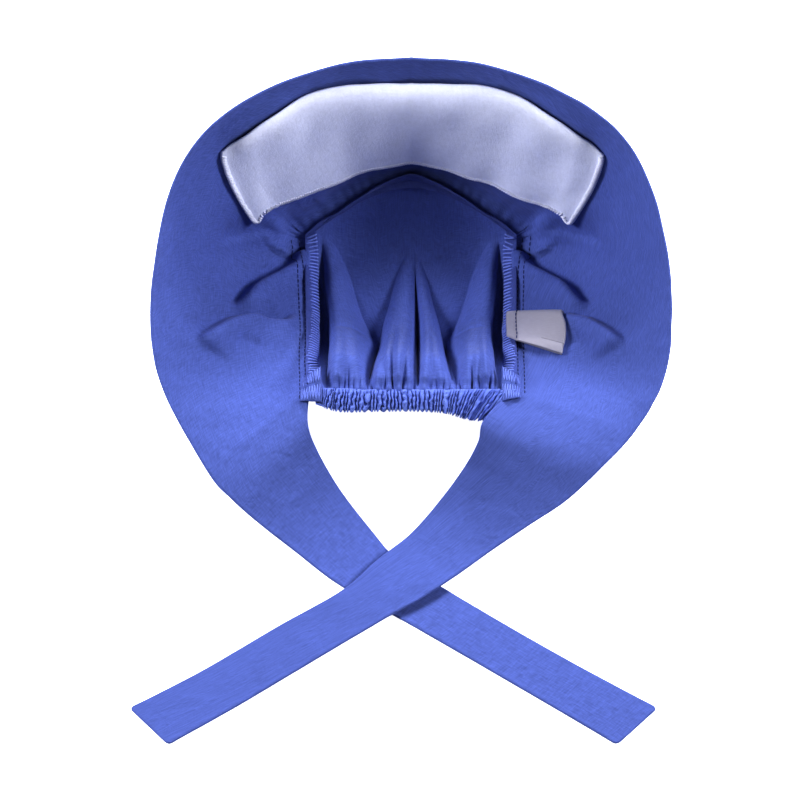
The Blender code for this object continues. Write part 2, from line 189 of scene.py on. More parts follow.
# Fine creases of the crown, through points of (across, along), in millimetres
CROWN_CREASES = (
    # name, points, depth, width
    ("left_bend", ((-0.73, 0.330), (-0.62, 0.332), (-0.50, 0.325), (-0.38, 0.305)), 0.8, 1.2),
    ("right_bend", ((0.38, 0.305), (0.50, 0.325), (0.62, 0.332), (0.73, 0.330)), 0.8, 1.2),
    ("left_wall", ((-0.66, 0.680), (-0.50, 0.650), (-0.34, 0.645), (-0.24, 0.655)), 0.5, 1.1),
    ("right_wall", ((0.24, 0.655), (0.34, 0.645), (0.50, 0.650), (0.66, 0.680)), 0.5, 1.1),
)

# Body of the band, the same on both sides, as shares of half the RIM_WIDTH and of
# RIM_REACH. seam counts along the crown's edge: 0 mid-forehead, 1 corner, 2 nape.
SHELL_ROWS = (
    # name, rim_across, rim_along, seam, bulge
    ("forehead", 0.000, 1.000, 0.00, 0.5),
    ("brow", 0.275, 0.986, 0.34, 0.5),
    ("temple", 0.545, 0.941, 0.68, 0.5),
    ("corner", 0.794, 0.858, 1.00, 0.7),
    ("side_front", 0.937, 0.727, 1.18, 0.9),
    ("side", 1.000, 0.535, 1.44, 1.0),
    ("side_back", 0.967, 0.382, 1.72, 0.8),
)

# Nape end of the band and its tie on each side: both edges, across as a share of half the
# RIM_WIDTH, along of the rim's reach over the floor, up of CROWN_DEPTH
LEFT_TIE_ROWS = (
    # name, outer_across, outer_along, outer_up, inner_across, inner_along, inner_up
    ("nape", -0.789, 0.210, 0.69, -0.418, 0.357, 1.03),
    ("nape_low", -0.690, 0.155, 0.47, -0.399, 0.311, 0.85),
    ("taper", -0.575, 0.108, 0.27, -0.361, 0.264, 0.60),
    ("narrowing", -0.444, 0.056, 0.12, -0.277, 0.199, 0.28),
    ("before_crossing", -0.312, -0.002, 0.03, -0.156, 0.117, 0.07),
    ("crossing", -0.180, -0.050, 0.00, -0.050, 0.046, 0.00),
    ("past_crossing", -0.029, -0.102, 0.00, 0.100, -0.012, 0.00),
    ("tie", 0.224, -0.194, 0.00, 0.345, -0.105, 0.00),
    ("tie_far", 0.480, -0.288, 0.00, 0.615, -0.203, 0.00),
    ("tie_end", 0.760, -0.392, 0.00, 0.919, -0.307, 0.00),
)
RIGHT_TIE_ROWS = (
    # name, outer_across, outer_along, outer_up, inner_across, inner_along, inner_up
    ("nape", 0.858, 0.283, 0.93, 0.411, 0.372, 1.03),
    ("shoulder", 0.723, 0.209, 0.70, 0.278, 0.306, 1.00),
    ("nape_low", 0.594, 0.154, 0.45, 0.256, 0.268, 0.82),
    ("taper", 0.456, 0.110, 0.28, 0.203, 0.229, 0.55),
    ("narrowing", 0.309, 0.058, 0.15, 0.111, 0.172, 0.28),
    ("before_crossing", 0.178, 0.002, 0.11, -0.002, 0.104, 0.12),
    ("crossing", 0.040, -0.055, 0.11, -0.129, 0.040, 0.11),
    ("past_crossing", -0.105, -0.104, 0.08, -0.266, -0.033, 0.08),
    ("tie", -0.380, -0.203, 0.03, -0.510, -0.117, 0.03),
    ("tie_far", -0.679, -0.313, 0.00, -0.797, -0.222, 0.00),
    ("tie_end", -0.904, -0.392, 0.00, -1.056, -0.307, 0.00),
)

# Places of the nape corners and of the tips of the ties, in rows from the forehead
NAPE = len(SHELL_ROWS)
LEFT_TIP = NAPE + len(LEFT_TIE_ROWS) - 1
RIGHT_TIP = NAPE + len(RIGHT_TIE_ROWS) - 1

# Casing, as shares of half the CROWN_WIDTH, in casing widths from the hem, and of
# CROWN_DEPTH
CASING_ROWS = (
    # name, top_across, top_back, top_up, low_across, low_back, low_up
    ("left_end", -0.845, 0.00, 1.01, -0.845, 0.72, 0.95),
    ("left", -0.640, -0.02, 0.99, -0.640, 0.92, 0.88),
    ("middle_left", -0.330, -0.02, 0.96, -0.320, 0.88, 0.86),
    ("middle", 0.000, -0.02, 0.96, 0.000, 0.86, 0.86),
    ("middle_right", 0.330, 0.00, 0.97, 0.290, 0.98, 0.87),
    ("right", 0.640, 0.02, 0.99, 0.470, 1.30, 0.90),
    ("right_end", 0.925, 0.10, 1.03, 0.640, 1.50, 0.93),
)

# Soft dents of the band: place in rows from the forehead, across from rim to seam, depth as
# a share of BAND_BULGE towards the head, and the dent's half sizes
DENT_ROWS = (
    # name, place, across, depth, long, wide
    ("side_crescent", 5.45, 0.58, 0.55, 0.50, 0.30),
    ("side_hollow", 4.60, 0.55, -0.45, 0.45, 0.28),
    ("corner_pucker", 3.10, 0.88, -0.50, 0.50, 0.12),
    ("temple_dent", 2.20, 0.10, 0.40, 0.45, 0.22),
    ("corner_pocket", 3.80, 0.930, -0.55, 0.55, 0.070),
    ("corner_valley", 4.42, 0.70, -1.00, 0.62, 0.24),
    ("side_pillow", 5.95, 0.76, 0.60, 0.30, 0.13),
    ("rim_pillow", 2.62, 0.14, 0.16, 0.20, 0.09),
    ("forehead_pocket", 2.00, 0.935, -0.62, 1.30, 0.075),
)

# Creases of the band, the same on both sides. Each runs through points of (place, across).
# The valley's depth and width, and the soft swell that follows it on the nape side, are
# in millimetres.
CREASES = (
    # name, points, depth, width, swell, swell_reach
    ("side_arc", ((5.70, 0.27), (5.55, 0.31), (5.45, 0.40), (5.38, 0.50), (5.38, 0.60), (5.45, 0.68),
                  (5.62, 0.76), (5.64, 0.83), (5.50, 0.91)), 3.3, 2.6, 5.0, 14.0),
    ("low_crease", ((5.68, 0.52), (5.97, 0.68), (6.35, 0.88)), 1.5, 1.3, -0.6, 6.0),
    ("corner_fold", ((4.35, 0.93), (4.67, 0.91), (4.90, 0.71), (5.05, 0.62), (5.20, 0.52)),
     4.6, 3.2, 4.4, 13.0),
    ("upper_arc", ((4.40, 0.50), (4.28, 0.60), (4.17, 0.70), (3.82, 0.84)), 1.2, 2.4, 1.0, 8.0),
)
VALLEY_WIDENING = 3.6  # of a valley's width, on its forehead side
SWELL_START = 1.7  # valley widths from a crease to its full swell


def columns(rows):
    """The numbers of a table, without its names."""
    return np.array([row[1:] for row in rows], float)


def smooth(rows, place):
    """Rows read at any place, 0 at the first and n - 1 at the last, on a Catmull-Rom curve."""
    rows = np.asarray(rows, float)
    slope = np.gradient(rows, axis=0)
    first = np.clip(np.floor(place).astype(int), 0, len(rows) - 2)
    t = (np.asarray(place, float) - first)[..., None]
    a, b, slope_a, slope_b = rows[first], rows[first + 1], slope[first], slope[first + 1]
    rise = t * t * (3 - 2 * t)
    return a + (b - a) * rise + slope_a * t * (1 - t) ** 2 - slope_b * t * t * (1 - t)


def ease(x):
    """0 below 0, 1 above 1, and a smooth rise between."""
    x = np.clip(x, 0, 1)
    return x * x * (3 - 2 * x)


def bell(x, width):
    """A bell curve: 1 at 0, and 1/e at the width on both sides."""
    return np.exp(-((x / width) ** 2))


def unit(v):
    """Vectors made one long."""
    return v / np.maximum(np.linalg.norm(v, axis=-1, keepdims=True), 1e-12)


def grid_normals(points):
    """Normals of a grid of points, from its two directions."""
    return unit(np.cross(np.gradient(points, axis=0), np.gradient(points, axis=1)))


def arc_lengths(points, axis):
    """Length along one direction of a grid, from its first line."""
    step = np.linalg.norm(np.diff(points, axis=axis), axis=-1)
    return np.concatenate([np.zeros_like(step.take([0], axis)), np.cumsum(step, axis=axis)], axis=axis)


def ripple(x, y, scale, seed):
    """Smooth unevenness, mostly between -1 and 1.

    It is a third of the sum of five sine waves, each of about the scale's wavelength and
    turned its own way.
    """
    way = np.random.default_rng(seed)
    total = 0
    for _ in range(5):
        angle, phase, pitch = way.uniform(0, 2 * math.pi, 2).tolist() + [scale * way.uniform(0.7, 1.5)]
        total = total + np.sin((x * math.cos(angle) + y * math.sin(angle)) * 2 * math.pi / pitch + phase)
    return total / 3


def crown_base(across, along):
    """Crown panel without its gathers: a trough whose sides turn up to the seam."""
    row = smooth(columns(CROWN_ROWS), np.asarray(along) * (len(CROWN_ROWS) - 1))
    middle_y, middle_z, side_y, side_z, width, square = np.moveaxis(row, -1, 0)
    level = np.clip((np.abs(across) - CROWN_FLAT_SHARE) / (1 - CROWN_FLAT_SHARE), 0, 1)
    front = np.clip((along - CROWN_WALL_START) / (1 - CROWN_WALL_START), 0, 1)
    level = level + (np.abs(across) - level) * front
    turn = level**square
    x = across * width * CROWN_WIDTH / 2
    y = (middle_y + (side_y - middle_y) * turn) * CROWN_LENGTH - CROWN_START
    z = np.maximum(middle_z + (side_z - middle_z) * turn, 0) * CROWN_DEPTH
    return np.stack([x, y, z + CROWN_CLOTH / 2], axis=-1)


def crown_edge(seam, inset=0.0):
    """The crown's sewn edge on the right: 0 mid-forehead, 1 corner, 2 nape. inset is in metres."""
    inward = inset / (CROWN_WIDTH / 2)
    forward = inset / CROWN_WALL_LENGTH
    across = np.minimum(seam, 1) * SEAM_SHARE * (1 - inward)
    along = np.minimum(2 - seam, 1) * (1 - forward)
    return crown_base(across, along)


def rim_point(across, along):
    """A point of the rim's leaning plane."""
    reach = along * RIM_REACH
    flat = [across * RIM_WIDTH / 2, reach * math.cos(RIM_LEAN) - RIM_START, reach * math.sin(RIM_LEAN)]
    return np.stack(flat, axis=-1)


def tie_edges(side):
    """Outer and inner edge points of one tie's rows."""
    table = columns(LEFT_TIE_ROWS if side < 0 else RIGHT_TIE_ROWS).reshape(-1, 2, 3)
    body = RIM_REACH * math.cos(RIM_LEAN)
    points = table * (RIM_WIDTH / 2, body, CROWN_DEPTH) + (0, -RIM_START, BAND_CLOTH / 2)
    return points[:, 0], points[:, 1]


def side_edges(place, side):
    """Rim and seam edge of one side, at places counted in rows from the forehead (0)."""
    rim_across, rim_along, seam, _ = columns(SHELL_ROWS).T
    tie_outer, tie_inner = tie_edges(side)
    outer = smooth(np.concatenate([rim_point(rim_across * side, rim_along), tie_outer]), place)
    sewn = crown_edge(smooth(np.append(seam, 2.0)[:, None], np.minimum(place, NAPE))[..., 0])
    sewn = sewn * (side, 1, 1)
    sewn = sewn + unit(unit(outer - sewn) + (0, 0, 1)) * BAND_CLEAR
    start = crown_edge(np.array([2.0]))[0] * (side, 1, 1)
    tie_inner[0] = start + unit(unit(tie_outer[0] - start) + (0, 0, 1)) * BAND_CLEAR
    free = smooth(tie_inner, np.maximum(place - NAPE, 0))
    return outer, np.where((place > NAPE)[..., None], free, sewn)


def band_base(place, across):
    """Band without its creases: straight between its edges, bowed away from the head, with soft dents.

    place counts rows from the forehead, negative on the left. across runs from the rim (0)
    to the seam (1).
    """
    right_out, right_in = side_edges(np.maximum(place, 0), 1)
    left_out, left_in = side_edges(np.maximum(-place, 0), -1)
    left = (place < 0)[..., None]
    edge_out, edge_in = np.where(left, left_out, right_out), np.where(left, left_in, right_in)
    flat = edge_out + (edge_in - edge_out) * across[..., None]
    outward = grid_normals(flat)
    bulge = np.concatenate([columns(SHELL_ROWS)[:, 3], [0.4, 0.1, 0, 0]])
    bow = smooth(bulge[:, None], np.minimum(np.abs(place), NAPE + 3))[..., 0]
    bow = bow * 4 * across * (1 - across)
    for along, dent_across, depth, long, wide in columns(DENT_ROWS):
        spot = bell(np.abs(place) - along, long) * bell(across - dent_across, wide)
        bow = bow - depth * spot * ease(across / 0.14) * ease((1 - across) / 0.035)
    surface = flat + outward * (bow * BAND_BULGE)[..., None]
    surface[..., 2] = np.maximum(surface[..., 2], BAND_CLOTH / 2)
    return surface


def from_line(points, line):
    """Distance from each point to a polyline, and the share of the line's length nearest to it."""
    best = np.full(points.shape[:-1], 1e9)
    share = np.zeros(points.shape[:-1])
    for k in range(len(line) - 1):
        step = line[k + 1] - line[k]
        t = np.clip((points - line[k]) @ step / (step @ step), 0, 1)
        away = np.linalg.norm(points - line[k] - t[..., None] * step, axis=-1)
        near = away < best
        best = np.where(near, away, best)
        share = np.where(near, (k + t) / (len(line) - 1), share)
    return best, share


def band_relief(place, across, surface):
    """Creases of the band, in metres towards the head.

    Across each crease the cloth falls into a valley, a bell curve of its depth and width
    that is wider on the forehead side, and swells on the nape side. Both fade to its ends.
    """
    relief = np.zeros(place.shape)
    for _, points, depth, width, swell, reach in CREASES:
        points = np.array(points)
        course = smooth(points, np.linspace(0, len(points) - 1, 6 * len(points)))
        for side in (-1, 1):
            line = on_grid(surface, place, across, course * (side, 1))
            away, share = from_line(surface, line)
            nearest = np.interp(share, np.linspace(0, 1, len(course)), course[:, 0])
            away = away * 1000 * np.where(np.abs(place) > nearest, 1, -1)
            fade = ease(share * 5) * ease((1 - share) * 5) * (place * side > 0)
            valley = -depth * bell(away, np.where(away < 0, VALLEY_WIDENING * width, width))
            after = swell * ease(away / (SWELL_START * width)) * bell(away, reach)
            relief += (valley + after) * fade / 1000
    return relief * ease(across / 0.06)


def placed(name, data):
    """An object with this mesh, light or camera, in the scene."""
    made = bpy.data.objects.new(name, data)
    bpy.context.scene.collection.objects.link(made)
    return made


def finished_mesh(name, points, faces, uv, finish):
    """An object of these points and faces, shaded smooth.

    Its cloth lengths are its UV map. Threads have none.
    """
    mesh = bpy.data.meshes.new(name)
    mesh.from_pydata(points.tolist(), [], faces)
    mesh.update()
    mesh.shade_smooth()
    if uv is not None:
        layer = mesh.uv_layers.new(name="cloth")
        corner = np.empty(len(mesh.loops), np.int32)
        mesh.loops.foreach_get("vertex_index", corner)
        layer.data.foreach_set("uv", uv[corner].astype(np.float32).ravel())
    mesh.materials.append(finish)
    return placed(name, mesh)


def quads(index):
    """The quads of a grid of vertex numbers."""
    return np.stack([index[:-1, :-1], index[1:, :-1], index[1:, 1:], index[:-1, 1:]], axis=-1).reshape(-1, 4)


def wall(name, middle, thickness, rounding, finish, lift=None):
    """A closed wall of cloth round a middle surface.

    Both faces stand off it along its normals by half the thickness. Within the rounding of
    the border that falls along a quarter circle to nothing, so the faces share the border.
    lift moves the first face alone.
    """
    along, across = arc_lengths(middle, 0), arc_lengths(middle, 1)
    edge = np.minimum(np.minimum(along, along[-1:] - along), np.minimum(across, across[:, -1:] - across))
    part = np.clip(1 - edge / rounding, 0, 1)
    half = (thickness / 2 * np.sqrt(1 - part**2))[..., None]
    normal = grid_normals(middle)
    inner, outer = middle - normal * half, middle + normal * half
    if lift is not None:
        inner = inner - normal * (lift * ease(edge / rounding))[..., None]
    rows, count = middle.shape[:2]
    first = np.arange(rows * count).reshape(rows, count)
    second = first.copy()
    second[1:-1, 1:-1] = rows * count + np.arange((rows - 2) * (count - 2)).reshape(rows - 2, count - 2)
    points = np.concatenate([inner.reshape(-1, 3), outer[1:-1, 1:-1].reshape(-1, 3)])
    uv = np.stack([along, across - across[:, -1:] / 2], axis=-1)
    uv = np.concatenate([uv.reshape(-1, 2), uv[1:-1, 1:-1].reshape(-1, 2)])
    faces = np.concatenate([quads(first)[:, ::-1], quads(second)]).tolist()
    return finished_mesh(name, points, faces, uv, finish)


def tubes(name, paths, radius, sides, finish):
    """Threads: each path, a row of points, becomes a tube that is closed at its tips.

    paths has the shape (threads, points, 3). Each point gets a ring of sides points round
    it, and the rings shrink to the thread's tips as sin^0.35.
    """
    threads, count = paths.shape[:2]
    run = unit(np.gradient(paths, axis=1))
    guide = np.where(np.abs(run[..., 2:]) > 0.9, (1.0, 0, 0), (0, 0, 1.0))
    side_way = unit(np.cross(run, guide))
    up_way = np.cross(run, side_way)
    turn = np.linspace(0, 2 * math.pi, sides, endpoint=False)
    ring = side_way[:, :, None] * np.cos(turn)[:, None] - up_way[:, :, None] * np.sin(turn)[:, None]
    taper = np.sin(np.linspace(0.12, 1 - 0.12, count) * math.pi) ** 0.35
    points = paths[:, :, None] + ring * (radius * taper)[None, :, None, None]
    index = np.arange(threads * count * sides).reshape(threads, count, sides)
    around = np.concatenate([index, index[:, :, :1]], axis=2)
    faces = np.stack(
        [around[:, :-1, :-1], around[:, :-1, 1:], around[:, 1:, 1:], around[:, 1:, :-1]], axis=-1
    ).reshape(-1, 4)
    faces = faces.tolist() + index[:, 0, ::-1].tolist() + index[:, -1].tolist()
    return finished_mesh(name, points.reshape(-1, 3), faces, None, finish)


def on_line(line, normal, shares):
    """Points and normals at these shares of a polyline's length."""
    along = arc_lengths(line[:, None], 0)[:, 0]
    shares = np.asarray(shares) * along[-1]
    point = np.stack([np.interp(shares, along, line[:, k]) for k in range(3)], axis=-1)
    way = np.stack([np.interp(shares, along, normal[:, k]) for k in range(3)], axis=-1)
    return point, unit(way)


def stitch_rows(line, normal):
    """Running stitches along a line on the cloth: each dips into the cloth at both ends."""
    length = arc_lengths(line[:, None], 0)[-1, 0]
    count = int(length / (STITCH_LENGTH + STITCH_GAP))
    local = np.linspace(0, STITCH_LENGTH, 6)
    start = np.arange(count) * (STITCH_LENGTH + STITCH_GAP)
    point, way = on_line(line, normal, (start[:, None] + local) / length)
    hump = np.sin(np.linspace(0, math.pi, 6))[None, :, None]
    return point + way * (hump * 1.3 - 0.6) * STITCH_RADIUS


def overlock_rows(edge, inward, normal, wall_cloth, width, radius, pitch, slant, seed):
    """Overlock stitches: threads from the raw edge to the needle line, uneven in their reach.

    wall_cloth is the cloth's (thickness, rounding), whose quarter circle they follow. slant
    is how far they run along the edge for each step inwards. At the needle line they dip
    into the cloth.
    """
    length = arc_lengths(edge[:, None], 0)[-1, 0]
    count = int(length / pitch)
    shares = (np.arange(count) + 0.5) / count
    point, way = on_line(edge, normal, shares)
    run = unit(np.gradient(edge, axis=0))
    inward = unit(inward - run * (inward * run).sum(axis=-1, keepdims=True))
    _, across = on_line(edge, inward + run * slant, shares)
    uneven = np.random.default_rng(seed).uniform(-1, 1, (count, 2))
    steps = np.linspace(-0.06, 1, 8)[None, :, None]
    reach = width * (1 + 0.12 * uneven[:, :1, None]) * steps
    part = np.clip(1 - reach / wall_cloth[1], 0, 1)
    dip = 0.9 * np.clip(steps - 0.85, 0, 1) / 0.15
    stand = wall_cloth[0] / 2 * np.sqrt(1 - part**2) + radius * (0.55 - dip)
    return point[:, None] + across[:, None] * reach + way[:, None] * stand * (1 + 0.08 * uneven[:, None, 1:])


# The cap's pieces


def border_lines(length, count):
    """Distances from one border to the other: a few close lines at both, then even steps."""
    fine = np.array([0, 0.15, 0.4, 0.8, 1.4, 2.2]) / 1000
    length = np.asarray(length)[..., None]
    even = fine[-1] + (length - 2 * fine[-1]) * np.linspace(0, 1, count)[1:-1]
    left = np.broadcast_to(fine, length.shape[:-1] + fine.shape)
    return np.concatenate([left, even, length - left[..., ::-1]], axis=-1)


def band_grid():
    """Places and shares across of the band's grid, and its width at each place.

    Its lines lie close together at its borders and on its body.
    """
    tip = np.array([0, 0.004, 0.010, 0.020, 0.036, 0.058])
    left = np.concatenate([tip - LEFT_TIP, np.linspace(0.1 - LEFT_TIP, -NAPE, 84)[:-1]])
    right = np.concatenate([np.linspace(NAPE, RIGHT_TIP - 0.1, 92)[1:], RIGHT_TIP - tip[::-1]])
    place = np.concatenate([left, np.linspace(-NAPE, NAPE, 431), right])
    ends = band_base(np.stack([place, place], axis=1), np.tile((0.0, 1.0), (len(place), 1)))
    rib = np.linalg.norm(ends[:, 1] - ends[:, 0], axis=-1)
    across = border_lines(rib, 60) / rib[:, None]
    corner = np.clip((np.abs(across - 0.5) * rib[:, None] - rib[:, None] / 2 + TIE_CORNER) / TIE_CORNER, 0, 1)
    end = np.where(place < 0, LEFT_TIP, RIGHT_TIP)
    near_end = ease(1 - (end - np.abs(place)) / 0.25)[:, None]
    cut = near_end * (1 - np.sqrt(1 - 0.99 * corner**2)) * TIE_CORNER / TIE_CORNER_ROW
    place = place[:, None] - np.sign(place)[:, None] * cut
    return place, across, rib


def on_grid(grid, place, across, line):
    """Points of a grid at a line's (place, across), read between its rows and columns."""
    row = np.interp(line[:, 0], place[:, 0], np.arange(len(place)))
    i = np.minimum(row.astype(int), len(place) - 2)
    column = np.array([np.interp(a, across[k], np.arange(across.shape[1])) for a, k in zip(line[:, 1], i)])
    j = np.minimum(column.astype(int), across.shape[1] - 2)
    f, g = (row - i)[:, None], (column - j)[:, None]
    near = grid[i, j] * (1 - g) + grid[i, j + 1] * g
    far = grid[i + 1, j] * (1 - g) + grid[i + 1, j + 1] * g
    return near * (1 - f) + far * f


def make_band(finish):
    """Band and ties: the bowed surface, sunk along its creases, uneven as washed cotton is.

    Puckers, a sine of the length along the seam, die out as an exponential away from it. A
    low ridge, a bell curve, marks the hem.
    """
    place, across, rib = band_grid()
    surface = band_base(place, across)
    normal = grid_normals(surface)
    relief = band_relief(place, across, surface)
    run = arc_lengths(surface, 0)[:, across.shape[1] // 2][:, None] + 0 * across
    over = across * rib[:, None]
    body = ease((NAPE + 0.6 - np.abs(place)) / 0.8)
    relief += body * (0.00030 * ripple(run, over, 0.034, 3) + 0.00014 * ripple(run, over, 0.013, 4))
    relief += (1 - body) * 0.00010 * ripple(run, over, 0.020, 5)
    seam = (1 - across) * rib[:, None]
    pucker = np.sin(2 * math.pi * (run / PUCKER_PITCH + 0.35 * ripple(run, 0, 0.04, 6)))
    relief += PUCKER_HEIGHT * body * pucker * np.exp(-seam / PUCKER_REACH) * ease(seam / 0.0012)
    surface = surface - normal * relief[..., None]
    surface[..., 2] = np.maximum(surface[..., 2], BAND_CLOTH / 2)
    hem = HEM_RIDGE * bell(over - HEM_LINE, HEM_WIDTH)
    return wall("band_cloth", surface, BAND_CLOTH, EDGE_ROUND, finish, hem), surface, place, across


def lobe_edges(along, values, tip, reach):
    """An edge of a lobe: straight between its knots, to its tip at the reach, then rounded off."""
    fine = np.linspace(0, 1, 201)
    edge = np.interp(fine, (*LOBE_KNOTS, reach), (*values, tip))
    edge = np.convolve(np.pad(edge, 10, mode="edge"), np.hanning(21) / np.hanning(21).sum(), "valid")
    return np.interp(along, fine, edge)


def lobe_rise(across, along):
    """Height of the lobes.

    Across each one it is u^a (1 - u)^b, which is steep or soft at its edges, and along it a
    cosine that ends at its reach.
    """
    rise = 0
    for row in columns(LOBE_ROWS):
        tip, reach, height, left_soft, right_soft = row[10:]
        left = lobe_edges(along, row[:5], tip - 0.03, reach)
        right = lobe_edges(along, row[5:10], tip + 0.03, reach)
        u = np.clip((across - left) / (right - left), 0, 1)
        peak = left_soft / (left_soft + right_soft)
        shape = u**left_soft * (1 - u) ** right_soft / (peak**left_soft * (1 - peak) ** right_soft)
        fade = np.cos(np.clip(along / reach, 0, 1) * math.pi / 2)
        hem = 0.35 + 0.65 * ease(along / 0.15)
        rise = rise + height / 1000 * shape * fade * hem
    return rise


def crown_surface(across, along):
    """Crown panel: its trough, lifted by the lobes and gathered at the hem.

    Grooves inside the lobes, the gutter beside the seam and the creases are bell curves
    across their lines, the gathers sines that die out from the hem.
    """
    base = crown_base(across, along)
    rise = lobe_rise(across, along)
    lobed = ease(rise / 0.004)
    for hem, end, reach, depth, half_width in columns(GROOVE_ROWS):
        far = np.clip(along / reach, 0, 1)
        groove = bell(across - hem - (end - hem) * far, half_width * (1 - 0.3 * far))
        rise = rise - depth / 1000 * groove * np.cos(far * math.pi / 2) * lobed
    x, y = across * CROWN_WIDTH / 2, along * CROWN_LENGTH
    gutter = bell(np.abs(across) - GUTTER_ACROSS, GUTTER_WIDTH)
    gutter = gutter * ease((along - 0.06) / 0.26) * ease((0.84 - along) / 0.40)
    rise = rise - GUTTER_DEPTH * gutter
    side = ease((1 - np.abs(across)) * 9)
    rise = rise * (0.15 + 0.85 * ease((along + 0.004) / 0.05))
    gathers = 0
    for pitch, uneven, scale, height, reach, seed in columns(GATHER_ROWS):
        wave = np.sin(2 * math.pi * (x / pitch + uneven * ripple(x, 0, scale, int(seed))))
        gathers = gathers + height * wave * bell(y, reach)
    rise = rise + side * gathers
    flat = np.stack([x, y], axis=-1) * 1000
    for _, points, depth, width in CROWN_CREASES:
        line = np.array(points) * (CROWN_WIDTH * 500, CROWN_LENGTH * 1000)
        line = smooth(line, np.linspace(0, len(line) - 1, 16))
        away, share = from_line(flat, line)
        rise = rise - depth / 1000 * bell(away, width) * ease(share * 4) * ease((1 - share) * 4)
    rise = rise + side * 0.00035 * ripple(x, y, 0.030, 13) + side * 0.00012 * ripple(x, y, 0.011, 14)
    tuck = ease(-along / HEM_TUCK)
    base[..., 1] -= 0.0008 * tuck
    base[..., 2] = np.maximum(base[..., 2] + rise - 0.0032 * tuck, CROWN_CLOTH / 2)
    return base


def make_crown(finish):
    """The crown's grid, from the nape to the forehead and from left to right."""
    along = border_lines(CROWN_LENGTH * (1 + HEM_TUCK), 196) / CROWN_LENGTH - HEM_TUCK
    across = (border_lines(CROWN_WIDTH, 206) / CROWN_WIDTH * 2 - 1) * SEAM_SHARE
    along, across = np.meshgrid(along, across, indexing="ij")
    return wall("crown_cloth", crown_surface(across, along), CROWN_CLOTH, CLOTH_ROUND, finish)


def make_casing(finish):
    """The gathered casing: a flattened tube along the hem.

    Round ridges with sharp gaps between them, |sin|^1.1 of an uneven phase, run round it.
    They slant away from the middle, and the lower edge is scalloped with them.
    """
    share = np.linspace(0, 1, 960)[:, None]
    turn = np.linspace(0, 2 * math.pi, 41)[None, :-1]
    rows = smooth(columns(CASING_ROWS), share * (len(CASING_ROWS) - 1)).reshape(-1, 1, 2, 3)
    rows = rows * (CROWN_WIDTH / 2, -CASING_WIDTH, CROWN_DEPTH)
    rows = rows - (0, CROWN_START + CASING_CLEAR, 0)
    middle, half = (rows[:, :, 0] + rows[:, :, 1]) / 2, (rows[:, :, 1] - rows[:, :, 0]) / 2
    face = unit(np.cross(np.gradient(middle, axis=0), half))
    length = arc_lengths(middle, 0)[-1, 0]
    slant = np.clip((share - 0.5) * 2.6, -1, 1) + 0.15 * ripple(share, 0, 0.16, 21)
    phase = share * length / PLEAT_PITCH + 0.42 * ripple(share, 0, 0.08, 22)
    phase = phase + slant * np.cos(turn) * -0.66 + 0.17 * ripple(share, np.cos(turn) * 0.05, 0.05, 25)
    ridge = np.abs(np.sin(phase * math.pi)) ** 1.1
    calm = ease((share - 0.03) * 20) * ease((1 - share) * 20)
    tall = 0.82 + 0.42 * ripple(share, np.cos(turn) * 0.2, 0.05, 23)
    thick = CASING_THICKNESS / 2 - RIDGE_SINK + RIDGE_HEIGHT * ridge * calm * tall
    scallop = 1 + 0.24 * (ridge - 0.6) * calm * ease(np.cos(turn) * 0.5 + 0.5)
    pinch = 0.0005 * calm * ripple(share, 0, 0.05, 24)
    stand = np.sin(turn) * thick + pinch
    points = middle + half * (np.cos(turn) * scallop)[..., None] + face * stand[..., None]
    count, sides = points.shape[:2]
    index = np.arange(count * sides).reshape(count, sides)
    around = np.concatenate([index, index[:, :1]], axis=1)
    faces = quads(around)[:, ::-1].tolist() + [index[0, ::-1].tolist(), index[-1].tolist()]
    run = arc_lengths(points, 0)
    uv = np.stack([run, arc_lengths(points, 1)], axis=-1).reshape(-1, 2)
    return finished_mesh("nape_casing_cloth", points.reshape(-1, 3), faces, uv, finish)


def sweatband_surface(share, drop):
    """The sweatband on the band's inside.

    share runs from its left end (-1) to its right (1), drop from its top (0) to its lower
    edge (1). Its padding swells as sin(pi d^0.46). The top sags at the middle as a cosine.
    The lower edge rises to the ends as a power and at its middle as a bell curve, and
    stands a little off the band. The ends slant and their corners are rounded.
    """
    top = SWEATBAND_TOP + SWEATBAND_SAG * np.cos(2 * math.pi * share)
    low = SWEATBAND_LOW - SWEATBAND_RISE * np.abs(share) ** 3.4 + 0.0009 * ripple(share, 0, 0.35, 31)
    low = low + 0.0050 * ease((np.abs(share) - 0.90) / 0.09) - 0.0030 * bell(share, 0.32)
    corner = np.clip((np.abs(drop - 0.5) - 0.40) / 0.10, 0, 1)
    round_off = 0.012 * corner**3
    place = share * (1 - round_off * np.abs(share) ** 8) * (SWEATBAND_END + SWEATBAND_SKEW * drop)
    place = place + 0.06 * ease(share)
    ends = side_edges(np.abs(place), 1)
    rib = np.linalg.norm(ends[1] - ends[0], axis=-1)
    surface = band_base(place, (top + drop * (low - top)) / rib)
    stand = BAND_CLOTH / 2 + SWEATBAND_CLOTH / 2 + SEWN_GAP
    ends_down = ease((1.02 - np.abs(share)) / 0.20)
    free = (0.0012 + 0.0010 * ripple(share, 0, 0.28, 32)) * ends_down * ease((drop - 0.45) / 0.55)
    pillow = SWEATBAND_PILLOW * ends_down * (1 - 0.45 * share**2)
    free = free + pillow * np.sin(math.pi * np.clip(drop, 0, 1) ** 0.46)
    soft = 0.0004 * ripple(share * 0.12, drop * 0.06, 0.035, 33)
    return surface - grid_normals(surface) * (stand + free + soft)[..., None]


